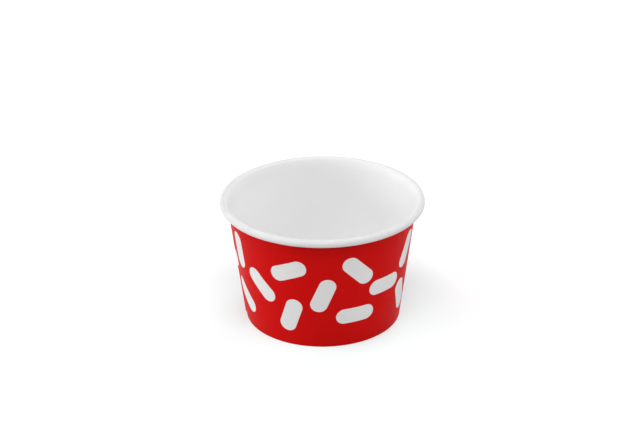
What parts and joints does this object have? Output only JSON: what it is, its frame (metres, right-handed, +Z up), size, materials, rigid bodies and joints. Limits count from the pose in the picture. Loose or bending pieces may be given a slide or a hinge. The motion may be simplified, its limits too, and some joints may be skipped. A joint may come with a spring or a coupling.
{
  "type": "paper ice cream cup",
  "caption": "Round tapered paper cup for a scoop of ice cream, with a rolled rim, a lapped side seam and a recessed base clamped in a turned-in foot.",
  "frame": {"origin": "centre of the foot ring, on the surface that the cup stands on", "axes": "+Z up along the cup's axis, from the foot to the rim; -Y towards the front, +X to the right seen from the front"},
  "size_m": [0.076, 0.076, 0.0475],
  "materials": {
    "printed_board": "satin",
    "plain_board": "satin"
  },
  "bodies": {
    "root": {"side_wall": "printed_board", "bottom_disc": "plain_board"}
  },
  "joints": []
}
